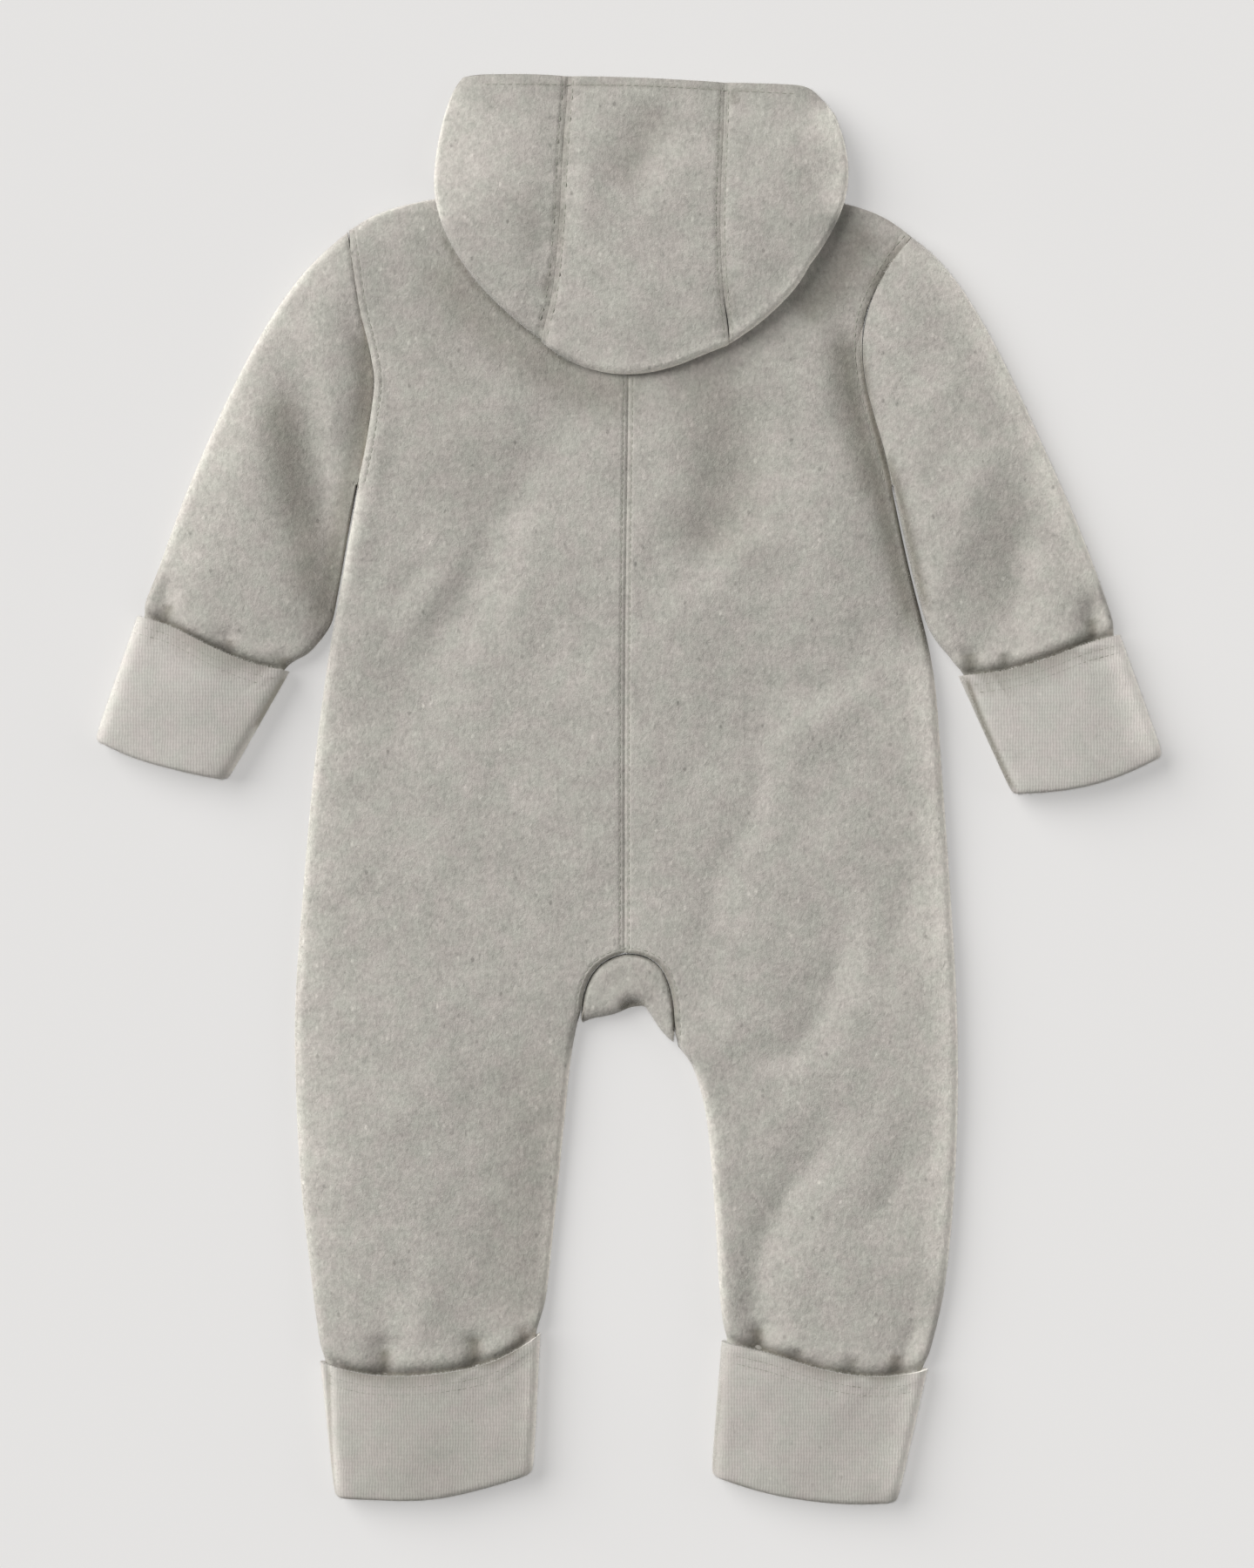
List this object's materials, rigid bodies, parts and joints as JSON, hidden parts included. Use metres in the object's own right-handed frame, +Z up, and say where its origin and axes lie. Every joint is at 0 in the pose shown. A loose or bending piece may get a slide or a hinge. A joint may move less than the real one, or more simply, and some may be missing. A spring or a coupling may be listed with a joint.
{
  "type": "hooded fleece overall for a baby, laid flat",
  "caption": "Baby's one-piece fleece overall laid flat on its front, hood folded on the back, with set-in sleeves, a crotch gusset and turned-back cuffs.",
  "frame": {"origin": "on the floor below the middle of the garment's outline", "axes": "+Y runs up the back from the ankles towards the hood, +X to the wearer's right, +Z up from the floor"},
  "size_m": [0.49, 0.656, 0.018],
  "materials": {
    "fleece": "brushed heather grey fleece with a short soft nap",
    "reverse": "smooth knitted reverse of the fleece, pale heather grey",
    "button": "satin horn-coloured resin"
  },
  "bodies": {
    "root": {"back_left": "fleece", "back_right": "fleece", "front_left": "fleece", "front_right": "fleece", "front_placket": "fleece", "crotch_gusset": "fleece", "sleeve_left": "fleece", "sleeve_right": "fleece", "hand_cuff_left": "reverse", "hand_cuff_right": "reverse", "ankle_cuff_left": "reverse", "ankle_cuff_right": "reverse", "hood_left": "fleece", "hood_centre": "fleece", "hood_right": "fleece", "hood_under": "fleece", "hood_brow": "fleece", "button_1": "button", "button_2": "button", "button_3": "button", "button_4": "button", "button_5": "button"}
  },
  "joints": []
}
